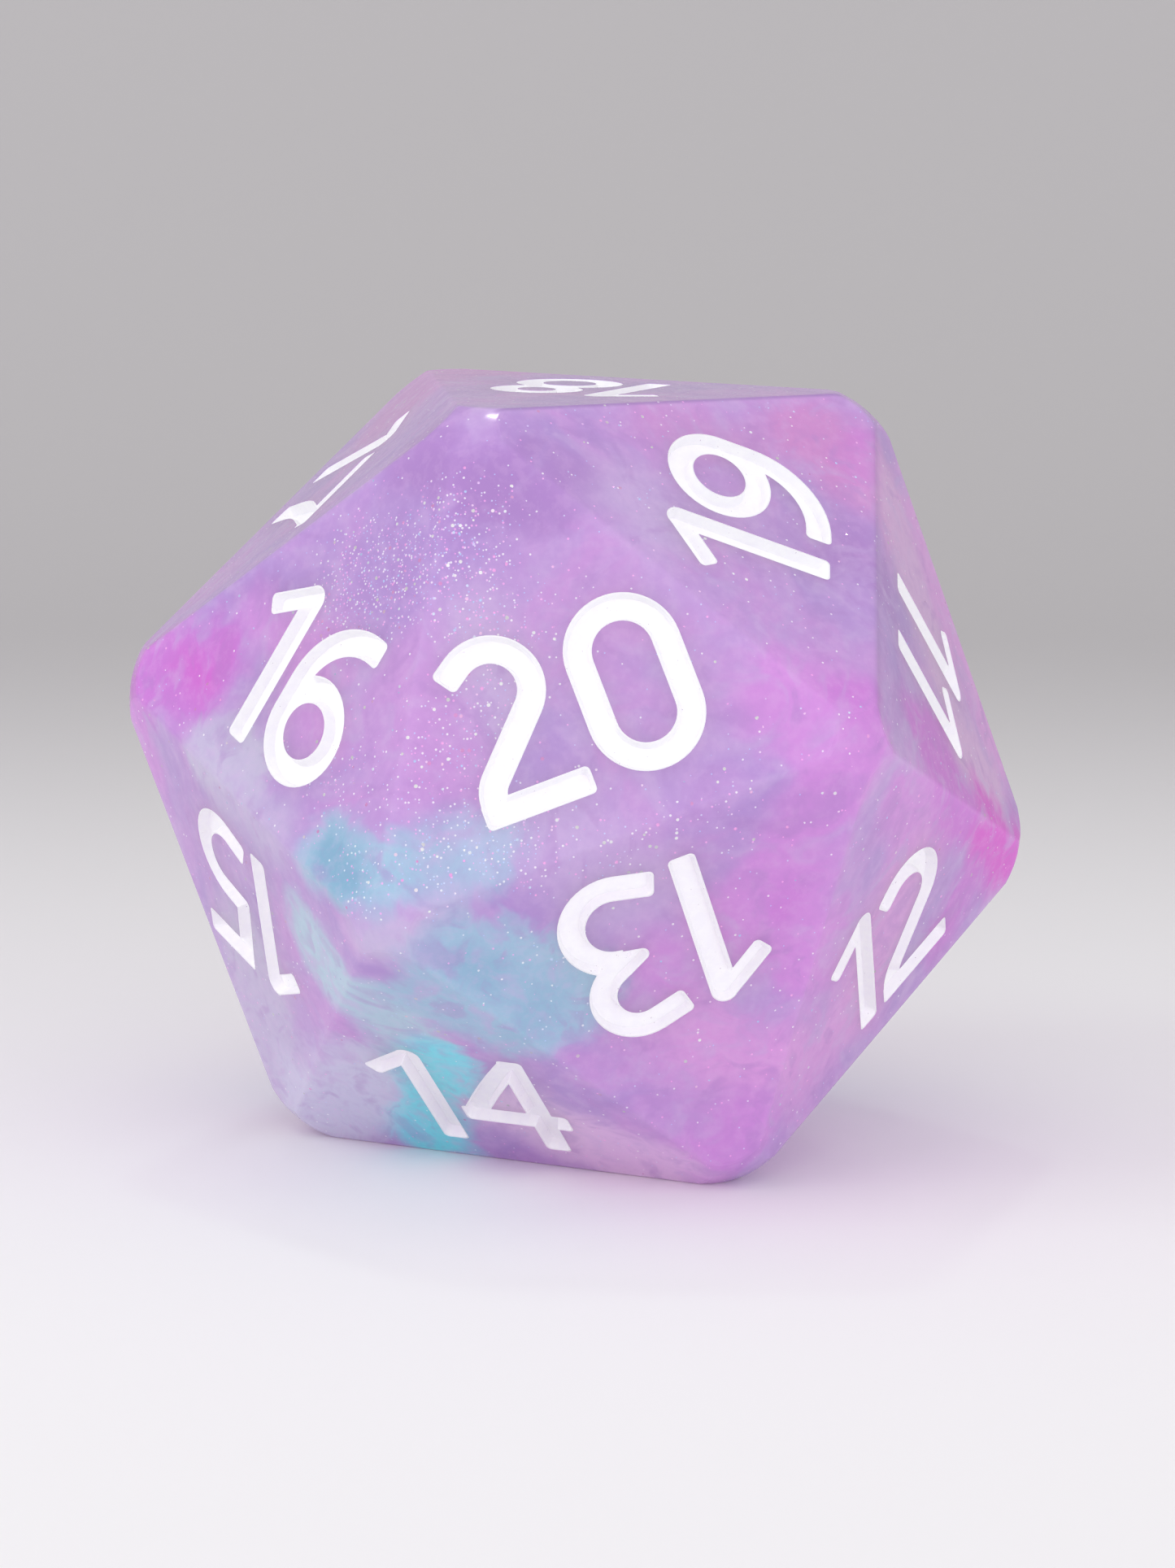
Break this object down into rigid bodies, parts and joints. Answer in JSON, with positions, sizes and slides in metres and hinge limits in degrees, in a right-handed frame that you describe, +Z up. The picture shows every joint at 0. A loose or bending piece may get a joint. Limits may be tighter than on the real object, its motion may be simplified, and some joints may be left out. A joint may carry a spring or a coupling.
{
  "type": "polyhedral die",
  "caption": "Twenty-sided countdown die in milky swirled resin with softened edges and engraved, white-painted numerals.",
  "frame": {"origin": "middle of the face the die rests on (the 4), level with the table", "axes": "+Z up, out of the opposite face (the 18); +Y along the edge of the resting face nearest to +X, towards the back; +X to the right. The 20 faces forward, to -Y."},
  "size_m": [0.0394, 0.0352, 0.033],
  "materials": {
    "resin": "polished milky translucent resin, lavender with magenta, pink and teal clouds and fine glitter",
    "paint": "brushed white acrylic paint, matt"
  },
  "bodies": {
    "root": {"resin_body": "resin", "paint_01": "paint", "paint_02": "paint", "paint_03": "paint", "paint_04": "paint", "paint_05": "paint", "paint_06": "paint", "paint_07": "paint", "paint_08": "paint", "paint_09": "paint", "paint_10": "paint", "paint_11": "paint", "paint_12": "paint", "paint_13": "paint", "paint_14": "paint", "paint_15": "paint", "paint_16": "paint", "paint_17": "paint", "paint_18": "paint", "paint_19": "paint", "paint_20": "paint"}
  },
  "joints": []
}
